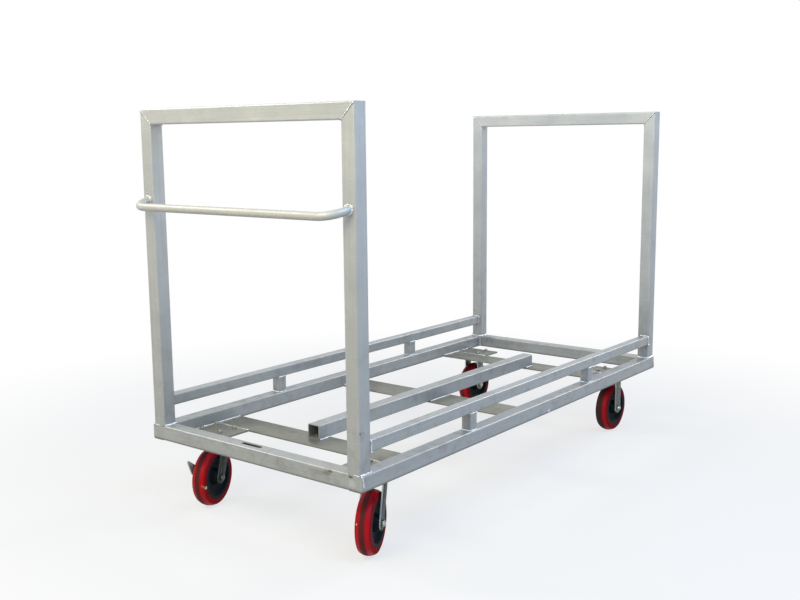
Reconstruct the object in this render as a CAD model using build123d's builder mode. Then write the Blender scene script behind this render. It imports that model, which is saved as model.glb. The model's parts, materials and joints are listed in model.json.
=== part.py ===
# Table cart: a welded square-tube base with a mitred frame at each end, raised load rails along both long
# sides and a bent push handle, on two swivel casters (handle end) and two rigid casters (far end).
# Millimetres, +Z up, floor at Z 0. The length runs along X with the handle at -X, and left is +Y.
# The origin is on the floor, below the middle of the whole cart's box.

import os
from math import atan2, cos, hypot, radians, sin

from build123d import *

os.makedirs("parts", exist_ok=True)

# Base and end frames
base_length = 2006.6
base_width = 939.8
tube_size = 50.8
tube_wall = 3.2
tube_inner_corner = 1.8
end_cap_thickness = 3.0
end_frame_height = 1066.8  # above the base rails
post_inset = 6.35  # posts and load rails stand in from the base's side face
slot_length = 90.0  # slot in the top wall of the handle-end rail
slot_width = 17.0
slot_inward = 4.0  # slot centre from the rail's centre line, towards the load
slot_to_left = 15.0  # slot centre from the cart's middle

# Load rails, spacers, cross-bars and caster pads
load_rail_size = 38.1
load_rail_wall = 3.0
spacer_height = 60.0
spacer_distance = 588.0  # spacer centre from the base's end face
bar_thickness = 6.35
outer_bar_width = 112.0
middle_bar_width = 134.0
outer_bar_distance = 302.0  # bar centre from the base's end face
pad_length = 106.0
pad_overhang = 41.5  # pad beyond the caster plate, towards the cart's middle

# Push handle
handle_diameter = 25.4
handle_wall = 2.5
handle_height = 752.5  # grip's centre above the base rails
handle_drop = 17.0  # grip below the tube's welded ends
handle_standoff = 68.0  # grip's centre from the posts' end faces
handle_bend_radius = 64.0

# Caster plates and their bolts
plate_length = 101.6
plate_width = 114.3
plate_thickness = 6.35
plate_corner = 8.0
plate_gap = 3.0  # plate edge to the base side rail
bolt_spacing_along = 66.7
bolt_spacing_across = 92.1
bolt_diameter = 9.525
bolt_hole_clearance = 0.4
bolt_hex = 14.3
bolt_head_height = 6.0
bolt_nut_height = 8.0
bolt_stub = 3.0
thread_clearance = 0.05

# Forks and swivel bearings
fork_gap = 63.5
fork_thickness = 5.0
fork_bend = 6.0
leg_width = 44.45
lead = 50.0  # axle behind the kingpin
rest_angles = {"left": 17.0, "right": 23.0}  # swivel casters as they stand, degrees from +X
crown_radius = 44.0
crown_thickness = 8.0
crown_clearance = 26.0  # tyre to the underside of the crown
race_ring_radius = 40.0
race_ring_height = 7.5
race_gap = 3.0
race_clearance = 0.15
ball_diameter = 9.525
ball_count = 12
ball_pitch_radius = 30.0
kingpin_diameter = 19.05
kingpin_head_diameter = 30.0
kingpin_head_height = 7.0
running_clearance = 0.08
press_clearance = 0.02
lift_clearance = 0.3  # between faces of two bodies that pass each other

# Wheels and axles
wheel_diameter = 203.2
wheel_width = 50.8
tread_crown = 9.0  # drop from the middle of the tread to its shoulders
tread_shoulder = 6.0
core_diameter = 154.0
core_rim_recess = 0.4  # core rim in from the tread's side
core_rim_thickness = 11.0
core_web = 18.0
core_draft = 5.0
core_fillet = 3.5
hub_diameter = 50.0
hub_side_clearance = 1.6
bearing_diameter = 30.2
bushing_diameter = 19.05
axle_diameter = 12.7
axle_clearance = 0.1
axle_hex = 19.05
axle_head_height = 8.0
axle_nut_height = 6.5
axle_nut_collar = 2.0
axle_stub = 1.5

# Brake on the left swivel caster: a side lever slides its ramp over a plunger in the fork leg
guide_ahead = 24.0  # plunger ahead of the axle
guide_above = 63.0  # plunger above the axle
bracket_thickness = 4.0
bracket_axle_radius = 17.0
bracket_guide_radius = 15.0
guide_boss_radius = 9.0
guide_boss_height = 4.0
pivot_ahead = 9.0
pivot_above = 26.4
pivot_diameter = 8.0
pivot_boss_radius = 8.0
pivot_head_diameter = 14.0
pivot_head_height = 2.5
lever_swing = 45.0
lever_thickness = 4.0
lever_hub_radius = 11.0
lever_crank_radius = 10.0  # round ends of the arm with the ramp
lever_elbow_behind = 38.0
lever_elbow_above = 29.0
lever_elbow_radius = 17.5
lever_tip_behind = 70.0
lever_tip_above = 66.5
lever_tip_radius = 4.5
lever_clearance = 0.45  # lever to the head of the axle bolt
ramp_width = 18.0
ramp_dwell = 6.0  # flat past the top of the ramp
plunger_diameter = 10.0
plunger_travel = 1.8
pad_diameter = 16.0
brake_pad_thickness = 2.4
brake_pad_clearance = 1.5  # left between pad and wheel with the brake on

# Heights, from the floor up
wheel_radius = wheel_diameter / 2
crown_bottom = wheel_diameter + crown_clearance
crown_top = crown_bottom + crown_thickness
ring_bottom = crown_top + race_gap
plate_bottom = ring_bottom + race_ring_height
base_bottom = plate_bottom + plate_thickness
base_middle = base_bottom + tube_size / 2
base_top = base_bottom + tube_size
bar_top = base_bottom + bar_thickness
frame_top = base_top + end_frame_height
load_rail_middle = base_top + spacer_height + load_rail_size / 2

# Plan positions
handle_reach = handle_standoff + handle_diameter / 2
handle_end = (handle_reach - base_length) / 2
far_end = (handle_reach + base_length) / 2
middle = (handle_end + far_end) / 2
ends = {"handle": (handle_end, 1), "far": (far_end, -1)}
sides = {"left": 1, "right": -1}
side_rail_y = (base_width - tube_size) / 2
inner_width = base_width - 2 * tube_size
post_outer_y = base_width / 2 - post_inset
post_y = post_outer_y - tube_size / 2
load_rail_y = post_outer_y - load_rail_size / 2
pad_width = plate_gap + plate_width + pad_overhang
caster_distance = outer_bar_distance - (outer_bar_width + pad_length) / 2
caster_y = inner_width / 2 - plate_gap - plate_width / 2

# Fork, wheel and brake sizes that follow from the others
fork_width = fork_gap + 2 * fork_thickness
ball_height = crown_top + race_gap / 2
race_radius = ball_diameter / 2 + race_clearance
hub_length = fork_gap - 2 * hub_side_clearance
core_rim_half = wheel_width / 2 - core_rim_recess
axle_hole_radius = axle_diameter / 2 + axle_clearance
half_swing = radians(lever_swing / 2)
lever_face = fork_width / 2 + bracket_thickness + axle_head_height + lever_clearance
crank_reach = hypot(guide_ahead - pivot_ahead, guide_above - pivot_above)
ramp_run = 2 * crank_reach * sin(half_swing)
ramp_under_plunger = plunger_travel * plunger_diameter / 2 / ramp_run  # ramp's rise under half the plunger
plunger_end = lever_face - lift_clearance - ramp_under_plunger
pad_face = wheel_width / 2 + brake_pad_clearance + plunger_travel


def save(piece, name):
    piece.part.label = name
    export_step(piece.part, f"parts/{name}.step")


def tube_section(size, wall):
    RectangleRounded(size, size, tube_inner_corner + wall)
    RectangleRounded(size - 2 * wall, size - 2 * wall, tube_inner_corner, mode=Mode.SUBTRACT)


class Caster:
    # Planes of one caster: forward is the way it rolls, across points to its left.
    def __init__(self, end, side, angle, trail):
        end_x, inward = ends[end]
        foot = Vector(end_x + inward * caster_distance, sides[side] * caster_y, 0)
        self.side = side
        self.trail = trail
        self.foot = foot
        self.forward = Vector(1, 0, 0).rotate(Axis.Z, angle)
        self.across = Vector(0, 1, 0).rotate(Axis.Z, angle)
        self.axle = foot - self.forward * trail + Vector(0, 0, wheel_radius)
        self.plan = Plane(foot, x_dir=self.forward, z_dir=(0, 0, 1))
        self.front = Plane(foot, x_dir=self.across, z_dir=self.forward)
        self.profile = Plane(foot, x_dir=-self.forward, z_dir=self.across)
        self.wheel = Plane(self.axle, x_dir=self.forward, z_dir=(0, 0, 1))
        self.hub = Plane(self.axle, x_dir=-self.forward, z_dir=self.across)
        self.kingpin_axis = Axis(foot, (0, 0, 1))
        self.axle_axis = Axis(self.axle, self.across)


swivel_casters = [Caster("handle", side, angle, lead) for side, angle in rest_angles.items()]
rigid_casters = [Caster("far", side, 0, 0) for side in sides]
caster_feet = [(caster.foot.X, caster.foot.Y) for caster in swivel_casters + rigid_casters]

# Base side rails and the thin caps welded into their ends
for side, sign in sides.items():
    with BuildPart() as side_rail:
        with BuildSketch(Plane.YZ.offset(handle_end + end_cap_thickness)):
            with Locations((sign * side_rail_y, base_middle)):
                tube_section(tube_size, tube_wall)
        extrude(amount=base_length - 2 * end_cap_thickness)
    save(side_rail, f"base_side_rail_{side}")

with BuildPart() as end_caps:
    with BuildSketch(Plane.YZ.offset(handle_end), Plane.YZ.offset(far_end - end_cap_thickness)):
        with Locations((side_rail_y, base_middle), (-side_rail_y, base_middle)):
            RectangleRounded(tube_size, tube_size, tube_inner_corner + tube_wall)
    extrude(amount=end_cap_thickness)
save(end_caps, "side_rail_end_caps")

# Base end rails, butted between the side rails
for end, (end_x, inward) in ends.items():
    rail_x = end_x + inward * tube_size / 2
    with BuildPart() as end_rail:
        with BuildSketch(Plane.XZ):
            with Locations((rail_x, base_middle)):
                tube_section(tube_size, tube_wall)
        extrude(amount=inner_width / 2, both=True)
        if end == "handle":
            with BuildSketch(Plane.XY.offset(base_top)):
                with Locations((rail_x + slot_inward, slot_to_left)):
                    SlotOverall(slot_length, slot_width, rotation=90)
            extrude(amount=-tube_size / 2, mode=Mode.SUBTRACT)
    save(end_rail, f"base_end_rail_{end}")

# Flat cross-bars, flush with the underside of the base
cross_bars = {
    "handle": (handle_end + outer_bar_distance, outer_bar_width),
    "middle": (middle, middle_bar_width),
    "far": (far_end - outer_bar_distance, outer_bar_width),
}
for place, (bar_x, bar_width) in cross_bars.items():
    with BuildPart() as cross_bar:
        with BuildSketch(Plane.XY.offset(base_bottom)):
            with Locations((bar_x, 0)):
                Rectangle(bar_width, inner_width)
        extrude(amount=bar_thickness)
    save(cross_bar, f"cross_bar_{place}")

# Caster pads, between the outer cross-bars and the ends
for end, (end_x, inward) in ends.items():
    with BuildPart() as pads:
        with BuildSketch(Plane.XY.offset(base_bottom)):
            for sign in sides.values():
                with Locations((end_x + inward * caster_distance, sign * (inner_width - pad_width) / 2)):
                    Rectangle(pad_length, pad_width)
                with Locations((end_x + inward * caster_distance, sign * caster_y)):
                    with GridLocations(bolt_spacing_along, bolt_spacing_across, 2, 2):
                        Circle(bolt_diameter / 2 + bolt_hole_clearance, mode=Mode.SUBTRACT)
        extrude(amount=bar_thickness)
    save(pads, f"caster_pads_{end}")

# Centre load rail, lying on the cross-bars
with BuildPart() as centre_rail:
    with BuildSketch(Plane.YZ.offset(handle_end + outer_bar_distance)):
        with Locations((0, bar_top + tube_size / 2)):
            tube_section(tube_size, tube_wall)
    extrude(amount=base_length - 2 * outer_bar_distance)
save(centre_rail, "centre_load_rail")

# End frames: posts and top rails meet in mitres
mitres = {}
for side, sign in sides.items():
    mitres[side] = Plane((0, sign * post_outer_y, frame_top), z_dir=(0, -sign, 1))

for end, (end_x, inward) in ends.items():
    for side, sign in sides.items():
        with BuildPart() as post:
            with BuildSketch(Plane.XY.offset(base_top)):
                with Locations((end_x + inward * tube_size / 2, sign * post_y)):
                    tube_section(tube_size, tube_wall)
            extrude(amount=end_frame_height)
            split(bisect_by=mitres[side], keep=Keep.BOTTOM)
        save(post, f"corner_post_{end}_{side}")

    with BuildPart() as top_rail:
        with BuildSketch(Plane.XZ):
            with Locations((end_x + inward * tube_size / 2, frame_top - tube_size / 2)):
                tube_section(tube_size, tube_wall)
        extrude(amount=post_outer_y, both=True)
        split(bisect_by=mitres["left"], keep=Keep.TOP)
        split(bisect_by=mitres["right"], keep=Keep.TOP)
    save(top_rail, f"end_frame_top_rail_{end}")

# Raised load rails between the posts, on short spacer stubs
for side, sign in sides.items():
    with BuildPart() as load_rail:
        with BuildSketch(Plane.YZ.offset(handle_end + tube_size)):
            with Locations((sign * load_rail_y, load_rail_middle)):
                tube_section(load_rail_size, load_rail_wall)
        extrude(amount=base_length - 2 * tube_size)
    save(load_rail, f"load_rail_{side}")

    with BuildPart() as spacers:
        with BuildSketch(Plane.XY.offset(base_top)):
            spacer_y = sign * load_rail_y
            with Locations((handle_end + spacer_distance, spacer_y), (far_end - spacer_distance, spacer_y)):
                tube_section(load_rail_size, load_rail_wall)
        extrude(amount=spacer_height)
    save(spacers, f"load_rail_spacers_{side}")

# Push handle, one bent tube from post to post
handle_z = base_top + handle_height
handle_x = handle_end - handle_standoff
root_x = handle_end + handle_diameter / 2  # past the post's face, then trimmed to it
root_z = handle_z + handle_drop * (root_x - handle_x) / handle_standoff
with BuildPart() as push_handle:
    with BuildLine():
        handle_path = FilletPolyline(
            (root_x, -post_y, root_z),
            (handle_x, -post_y, handle_z),
            (handle_x, post_y, handle_z),
            (root_x, post_y, root_z),
            radius=handle_bend_radius,
        )
    with BuildSketch(Plane(handle_path @ 0, z_dir=handle_path % 0)):
        Circle(handle_diameter / 2)
        Circle(handle_diameter / 2 - handle_wall, mode=Mode.SUBTRACT)
    sweep()
    split(bisect_by=Plane.YZ.offset(handle_end), keep=Keep.BOTTOM)
save(push_handle, "push_handle")

# Bolts and nuts of the four casters: heads below the plates, nuts on the pads
with BuildPart() as caster_bolts:
    with BuildSketch(Plane.XY.offset(plate_bottom - bolt_head_height)):
        with Locations(caster_feet):
            with GridLocations(bolt_spacing_along, bolt_spacing_across, 2, 2):
                RegularPolygon(bolt_hex / 2, 6, major_radius=False)
    extrude(amount=bolt_head_height)
    with BuildSketch(Plane.XY.offset(plate_bottom)):
        with Locations(caster_feet):
            with GridLocations(bolt_spacing_along, bolt_spacing_across, 2, 2):
                Circle(bolt_diameter / 2)
    extrude(amount=plate_thickness + bar_thickness + bolt_nut_height + bolt_stub)
save(caster_bolts, "caster_bolts")

with BuildPart() as caster_nuts:
    with BuildSketch(Plane.XY.offset(bar_top)):
        with Locations(caster_feet):
            with GridLocations(bolt_spacing_along, bolt_spacing_across, 2, 2):
                RegularPolygon(bolt_hex / 2, 6, major_radius=False)
                Circle(bolt_diameter / 2 + thread_clearance, mode=Mode.SUBTRACT)
    extrude(amount=bolt_nut_height)
save(caster_nuts, "caster_nuts")


def mounting_plate(caster):
    with BuildPart() as plate:
        with BuildSketch(Plane.XY.offset(plate_bottom)):
            with Locations((caster.foot.X, caster.foot.Y)):
                RectangleRounded(plate_length, plate_width, plate_corner)
                with GridLocations(bolt_spacing_along, bolt_spacing_across, 2, 2):
                    Circle(bolt_diameter / 2 + bolt_hole_clearance, mode=Mode.SUBTRACT)
        extrude(amount=plate_thickness)
    return plate.part


def strap_fork(caster, web_top):
    # A bent strap seen from the front, trimmed to the raked and rounded legs seen from the side.
    web_bottom = web_top - fork_thickness
    half_gap = fork_gap / 2
    reach = caster.trail + leg_width
    with BuildPart() as fork:
        with BuildSketch(caster.front.offset(-reach)):
            with BuildLine():
                FilletPolyline(
                    (-half_gap, 0),
                    (-half_gap, web_bottom),
                    (half_gap, web_bottom),
                    (half_gap, 0),
                    radius=fork_bend,
                )
                offset(amount=fork_thickness, side=Side.LEFT)
            make_face()
        extrude(amount=2 * reach)
        with BuildSketch(caster.profile):
            with Locations((caster.trail, wheel_radius)):
                Circle(leg_width / 2)
            with Locations((0, web_top)):
                Rectangle(leg_width, fork_thickness, align=(Align.CENTER, Align.MAX))
            make_hull()
        extrude(amount=fork_width, both=True, mode=Mode.INTERSECT)
        with BuildSketch(caster.hub):
            Circle(axle_hole_radius)
        extrude(amount=fork_width, both=True, mode=Mode.SUBTRACT)
    return fork.part


def axle_bolt(caster, head_seat):
    shank = head_seat + fork_width / 2 + axle_nut_height + axle_nut_collar + axle_stub
    with BuildPart() as bolt:
        with BuildSketch(caster.hub.offset(head_seat)):
            RegularPolygon(axle_hex / 2, 6, major_radius=False)
        extrude(amount=axle_head_height)
        with BuildSketch(caster.hub.offset(head_seat)):
            Circle(axle_diameter / 2)
        extrude(amount=-shank)
    return bolt.part


def axle_nut(caster):
    # Lock nut: a hexagon with a round collar.
    bore_radius = axle_diameter / 2 + thread_clearance
    with BuildPart() as nut:
        with BuildSketch(caster.hub.offset(-fork_width / 2)):
            RegularPolygon(axle_hex / 2, 6, major_radius=False)
            Circle(bore_radius, mode=Mode.SUBTRACT)
        extrude(amount=-axle_nut_height)
        with BuildSketch(caster.hub.offset(-fork_width / 2 - axle_nut_height)):
            Circle((axle_hex + axle_diameter) / 4)
            Circle(bore_radius, mode=Mode.SUBTRACT)
        extrude(amount=-axle_nut_collar)
    return nut.part


def axle_bushing(caster):
    with BuildPart() as bushing:
        with BuildSketch(caster.hub):
            Circle(bushing_diameter / 2)
            Circle(axle_hole_radius, mode=Mode.SUBTRACT)
        extrude(amount=fork_gap / 2, both=True)
    return bushing.part


# Swivel casters: top plate with the upper race, balls, kingpin and raked fork
for caster in swivel_casters:
    side = caster.side
    with BuildPart() as swivel_plate:
        add(mounting_plate(caster))
        with BuildSketch(caster.plan.offset(ring_bottom)):
            Circle(race_ring_radius)
        extrude(amount=race_ring_height)
        with BuildSketch(caster.front):
            with Locations((ball_pitch_radius, ball_height)):
                Circle(race_radius)
        revolve(axis=caster.kingpin_axis, mode=Mode.SUBTRACT)
        with BuildSketch(caster.plan.offset(ring_bottom)):
            Circle(kingpin_diameter / 2 + press_clearance)
        extrude(amount=race_ring_height + plate_thickness, mode=Mode.SUBTRACT)
    save(swivel_plate, f"swivel_plate_{side}")

    with BuildPart() as swivel_balls:
        with Locations(caster.plan.offset(ball_height)):
            with PolarLocations(ball_pitch_radius, ball_count):
                Sphere(ball_diameter / 2)
    save(swivel_balls, f"swivel_balls_{side}")

    pin_head_top = crown_bottom - lift_clearance
    with BuildPart() as kingpin:
        with BuildSketch(caster.plan.offset(pin_head_top)):
            Circle(kingpin_diameter / 2)
        extrude(amount=base_bottom - pin_head_top)
        with BuildSketch(caster.plan.offset(pin_head_top - kingpin_head_height)):
            Circle(kingpin_head_diameter / 2)
        extrude(amount=kingpin_head_height)
    save(kingpin, f"kingpin_{side}")

    with BuildPart() as swivel_fork:
        add(strap_fork(caster, crown_top))
        with BuildSketch(caster.plan.offset(crown_bottom)):
            Circle(crown_radius)
        extrude(amount=crown_thickness)
        with BuildSketch(caster.front):
            with Locations((ball_pitch_radius, ball_height)):
                Circle(race_radius)
        revolve(axis=caster.kingpin_axis, mode=Mode.SUBTRACT)
        with BuildSketch(caster.plan.offset(crown_bottom)):
            Circle(kingpin_diameter / 2 + running_clearance)
        extrude(amount=crown_thickness, mode=Mode.SUBTRACT)
        if side == "left":
            with BuildSketch(caster.profile.offset(fork_gap / 2)):
                with Locations((caster.trail - guide_ahead, wheel_radius + guide_above)):
                    Circle(plunger_diameter / 2 + running_clearance)
            extrude(amount=fork_thickness, mode=Mode.SUBTRACT)
    save(swivel_fork, f"swivel_fork_{side}")

    head_seat = fork_width / 2
    if side == "left":
        head_seat += bracket_thickness
    with BuildPart() as swivel_axle_bolt:
        add(axle_bolt(caster, head_seat))
    save(swivel_axle_bolt, f"axle_bolt_handle_{side}")

    with BuildPart() as swivel_axle_nut:
        add(axle_nut(caster))
    save(swivel_axle_nut, f"axle_nut_handle_{side}")

    with BuildPart() as swivel_bushing:
        add(axle_bushing(caster))
    save(swivel_bushing, f"axle_bushing_handle_{side}")

# Rigid casters: plate and fork welded together
for caster in rigid_casters:
    with BuildPart() as rigid_fork:
        add(mounting_plate(caster))
        add(strap_fork(caster, plate_bottom))
    save(rigid_fork, f"rigid_fork_{caster.side}")

with BuildPart() as far_axle_bolts:
    for caster in rigid_casters:
        add(axle_bolt(caster, fork_width / 2))
save(far_axle_bolts, "axle_bolts_far")

with BuildPart() as far_axle_nuts:
    for caster in rigid_casters:
        add(axle_nut(caster))
save(far_axle_nuts, "axle_nuts_far")

with BuildPart() as far_bushings:
    for caster in rigid_casters:
        add(axle_bushing(caster))
save(far_bushings, "axle_bushings_far")

# Wheels: crowned tread on a dished core with a roller bearing in the hub
for end, casters in (("handle", swivel_casters), ("far", rigid_casters)):
    for caster in casters:
        shoulder_radius = wheel_radius - tread_crown
        core_radius = core_diameter / 2
        with BuildPart() as tread:
            with BuildSketch(caster.wheel) as tread_section:
                with BuildLine():
                    ThreePointArc(
                        (shoulder_radius, -wheel_width / 2),
                        (wheel_radius, 0),
                        (shoulder_radius, wheel_width / 2),
                    )
                    Polyline(
                        (shoulder_radius, wheel_width / 2),
                        (core_radius, wheel_width / 2),
                        (core_radius, -wheel_width / 2),
                        (shoulder_radius, -wheel_width / 2),
                    )
                make_face()
                fillet(tread_section.vertices().group_by(Axis.X)[-1], tread_shoulder)
            revolve(axis=caster.axle_axis)
        save(tread, f"wheel_tread_{end}_{caster.side}")

        rim_inner = core_radius - core_rim_thickness
        hub_radius = hub_diameter / 2
        with BuildPart() as core:
            with BuildSketch(caster.wheel) as core_section:
                with BuildLine():
                    Polyline(
                        (bearing_diameter / 2 + press_clearance, 0),
                        (bearing_diameter / 2 + press_clearance, hub_length / 2),
                        (hub_radius, hub_length / 2),
                        (hub_radius + core_draft, core_web / 2),
                        (rim_inner - core_draft, core_web / 2),
                        (rim_inner, core_rim_half),
                        (core_radius, core_rim_half),
                        (core_radius, 0),
                    )
                    mirror(about=Plane.XZ)
                make_face()
                web_corners = core_section.vertices().filter_by_position(
                    Axis.X, hub_radius + core_draft / 2, rim_inner - core_draft / 2
                )
                fillet(web_corners, core_fillet)
            revolve(axis=caster.axle_axis)
        save(core, f"wheel_core_{end}_{caster.side}")

        with BuildPart() as bearing:
            with BuildSketch(caster.hub):
                Circle(bearing_diameter / 2)
                Circle(bushing_diameter / 2 + running_clearance, mode=Mode.SUBTRACT)
            extrude(amount=hub_length / 2, both=True)
        save(bearing, f"wheel_bearing_{end}_{caster.side}")

# Brake on the left swivel caster
caster = swivel_casters[0]
side_plane = caster.profile
axle_point = (caster.trail, wheel_radius)
guide_point = (caster.trail - guide_ahead, wheel_radius + guide_above)
pivot_point = (caster.trail - pivot_ahead, wheel_radius + pivot_above)
elbow_point = (caster.trail + lever_elbow_behind, wheel_radius + lever_elbow_above)
tip_point = (caster.trail + lever_tip_behind, wheel_radius + lever_tip_above)

with BuildPart() as brake_bracket:
    with BuildSketch(side_plane.offset(fork_width / 2)):
        with Locations(axle_point):
            Circle(bracket_axle_radius)
        with Locations(guide_point):
            Circle(bracket_guide_radius)
        make_hull()
        with Locations(axle_point):
            Circle(axle_hole_radius, mode=Mode.SUBTRACT)
    extrude(amount=bracket_thickness)
    with BuildSketch(side_plane.offset(fork_width / 2 + bracket_thickness)):
        with Locations(guide_point):
            Circle(guide_boss_radius)
    extrude(amount=guide_boss_height)
    with BuildSketch(side_plane.offset(fork_width / 2 + bracket_thickness)):
        with Locations(pivot_point):
            Circle(pivot_boss_radius)
    extrude(amount=lever_face - lift_clearance - fork_width / 2 - bracket_thickness)
    with BuildSketch(side_plane.offset(fork_width / 2)):
        with Locations(guide_point):
            Circle(plunger_diameter / 2 + running_clearance)
        with Locations(pivot_point):
            Circle(pivot_diameter / 2 + press_clearance)
    extrude(amount=lever_face, mode=Mode.SUBTRACT)
save(brake_bracket, "brake_bracket")

pin_head_face = lever_face + lever_thickness + lift_clearance
with BuildPart() as brake_pivot:
    with BuildSketch(side_plane.offset(fork_width / 2)):
        with Locations(pivot_point):
            Circle(pivot_diameter / 2)
    extrude(amount=pin_head_face - fork_width / 2)
    with BuildSketch(side_plane.offset(pin_head_face)):
        with Locations(pivot_point):
            Circle(pivot_head_diameter / 2)
    extrude(amount=pivot_head_height)
save(brake_pivot, "brake_pivot_pin")

# The lever turns about its pin, and the ramp on its short arm comes over the plunger as it is pressed.
crank_start = atan2(guide_above - pivot_above, pivot_ahead - guide_ahead)
crank_middle = crank_start + half_swing
crank_end = crank_middle + half_swing
ramp_end_point = (
    pivot_point[0] + crank_reach * cos(crank_end),
    pivot_point[1] + crank_reach * sin(crank_end),
)
ramp_radius = crank_reach * cos(half_swing / 2) ** 2
ramp_centre = side_plane.from_local_coords((
    pivot_point[0] + ramp_radius * cos(crank_middle),
    pivot_point[1] + ramp_radius * sin(crank_middle),
    lever_face,
))
ramp_outward = side_plane.x_dir * cos(crank_middle) + side_plane.y_dir * sin(crank_middle)
ramp_along = side_plane.y_dir * cos(crank_middle) - side_plane.x_dir * sin(crank_middle)
with BuildPart() as brake_lever:
    with BuildSketch(side_plane.offset(lever_face)):
        with Locations(pivot_point):
            Circle(lever_hub_radius)
        with Locations(guide_point, ramp_end_point):
            Circle(lever_crank_radius)
        make_hull()
    extrude(amount=lever_thickness)
    with BuildSketch(side_plane.offset(lever_face)):
        with Locations(pivot_point):
            Circle(lever_hub_radius)
        with Locations(elbow_point):
            Circle(lever_elbow_radius)
        make_hull()
    extrude(amount=lever_thickness)
    with BuildSketch(side_plane.offset(lever_face)):
        with Locations(elbow_point):
            Circle(lever_elbow_radius)
        with Locations(tip_point):
            Circle(lever_tip_radius)
        make_hull()
    extrude(amount=lever_thickness)
    with BuildSketch(Plane(ramp_centre, x_dir=ramp_along, z_dir=ramp_outward)):
        Polygon(
            (-ramp_run / 2, 0),
            (ramp_run / 2, -plunger_travel),
            (ramp_run / 2 + ramp_dwell, -plunger_travel),
            (ramp_run / 2 + ramp_dwell, 0),
            align=None,
        )
    extrude(amount=ramp_width / 2, both=True)
    with BuildSketch(side_plane.offset(lever_face)):
        with Locations(pivot_point):
            Circle(pivot_diameter / 2 + running_clearance)
    extrude(amount=lever_thickness, mode=Mode.SUBTRACT)
save(brake_lever, "brake_lever")

with BuildPart() as brake_plunger:
    with BuildSketch(side_plane.offset(pad_face + brake_pad_thickness)):
        with Locations(guide_point):
            Circle(plunger_diameter / 2)
    extrude(amount=plunger_end - pad_face - brake_pad_thickness)
save(brake_plunger, "brake_plunger")

with BuildPart() as brake_pad:
    with BuildSketch(side_plane.offset(pad_face)):
        with Locations(guide_point):
            Circle(pad_diameter / 2)
    extrude(amount=brake_pad_thickness)
save(brake_pad, "brake_pad")
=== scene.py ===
import json
import math

import bmesh
import bpy
from mathutils import Matrix, Vector, noise


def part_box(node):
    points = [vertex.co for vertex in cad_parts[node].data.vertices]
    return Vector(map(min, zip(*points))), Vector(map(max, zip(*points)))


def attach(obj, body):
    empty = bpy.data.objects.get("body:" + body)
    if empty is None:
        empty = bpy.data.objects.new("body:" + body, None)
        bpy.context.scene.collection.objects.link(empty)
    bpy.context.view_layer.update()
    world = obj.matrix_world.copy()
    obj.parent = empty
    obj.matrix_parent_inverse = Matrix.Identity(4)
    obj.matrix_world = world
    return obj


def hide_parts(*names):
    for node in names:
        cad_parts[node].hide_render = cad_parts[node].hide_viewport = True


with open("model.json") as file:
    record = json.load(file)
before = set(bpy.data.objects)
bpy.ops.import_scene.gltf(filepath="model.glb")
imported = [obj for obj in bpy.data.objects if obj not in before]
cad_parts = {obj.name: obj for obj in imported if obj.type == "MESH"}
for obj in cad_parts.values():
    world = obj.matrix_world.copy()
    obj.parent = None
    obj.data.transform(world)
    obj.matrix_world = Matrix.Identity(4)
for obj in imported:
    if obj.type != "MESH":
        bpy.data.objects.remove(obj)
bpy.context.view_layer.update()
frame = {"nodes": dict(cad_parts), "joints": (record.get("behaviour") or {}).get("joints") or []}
nodes = frame["nodes"]
joints = {joint["name"]: joint for joint in frame["joints"]}
# Places on the frame are measured along from the handle end's outer face
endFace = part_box("corner_post_handle_right")[0].x
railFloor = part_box("base_side_rail_right")[0].z  # the base rails' undersides
noiseLow = 0.3  # a noise texture keeps mostly between these
noiseHigh = 0.7
print("frame loaded:", len(nodes), "nodes")


def mm(value):
    return value / 1000


def perMm(size):  # texture scale for features about this many millimetres across
    return 1000 / size


def fromEnd(along, across, up):  # a place on the frame in mm, along from the handle end's face
    return Vector((endFace + mm(along), mm(across), mm(up)))


def linearColour(hexCode):
    channels = [int(hexCode[i:i + 2], 16) / 255 for i in (1, 3, 5)]
    return [c / 12.92 if c <= 0.04045 else ((c + 0.055) / 1.055) ** 2.4 for c in channels] + [1]


def addNode(tree, kind, inputs=None, **settings):
    node = tree.nodes.new(kind)
    for key, value in settings.items():
        setattr(node, key, value)
    for key, value in (inputs or {}).items():
        if isinstance(value, bpy.types.NodeSocket):
            tree.links.new(value, node.inputs[key])
        else:
            node.inputs[key].default_value = value
    return node


def startMaterial(name, sockets):
    material = bpy.data.materials.new(name)
    material.use_nodes = True
    tree = material.node_tree
    tree.nodes.clear()
    shader = addNode(tree, "ShaderNodeBsdfPrincipled", sockets)
    addNode(tree, "ShaderNodeOutputMaterial", {"Surface": shader.outputs["BSDF"]})
    place = addNode(tree, "ShaderNodeTexCoord").outputs["Object"]
    return material, tree, shader, place


def endMaterial(tree, shader, colour, rough, relief=None, bump=None):  # what every finish ends with
    tree.links.new(colour, shader.inputs["Base Color"])
    tree.links.new(rough, shader.inputs["Roughness"])
    if bump:
        raised = addNode(tree, "ShaderNodeBump", {
            "Strength": bump["strength"], "Distance": mm(bump["depth"]), "Height": relief})
        tree.links.new(raised.outputs[0], shader.inputs["Normal"])


# One mark (a knock, a stain, a painted glint, a painted shaded spot) is a ragged spot of its own colour,
# solid to about its size and gone soon after
markEdge = {"raggedScale": 2.2, "raggedDepth": 1.1, "solidTo": 1.05, "goneBy": 1.6}


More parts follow.
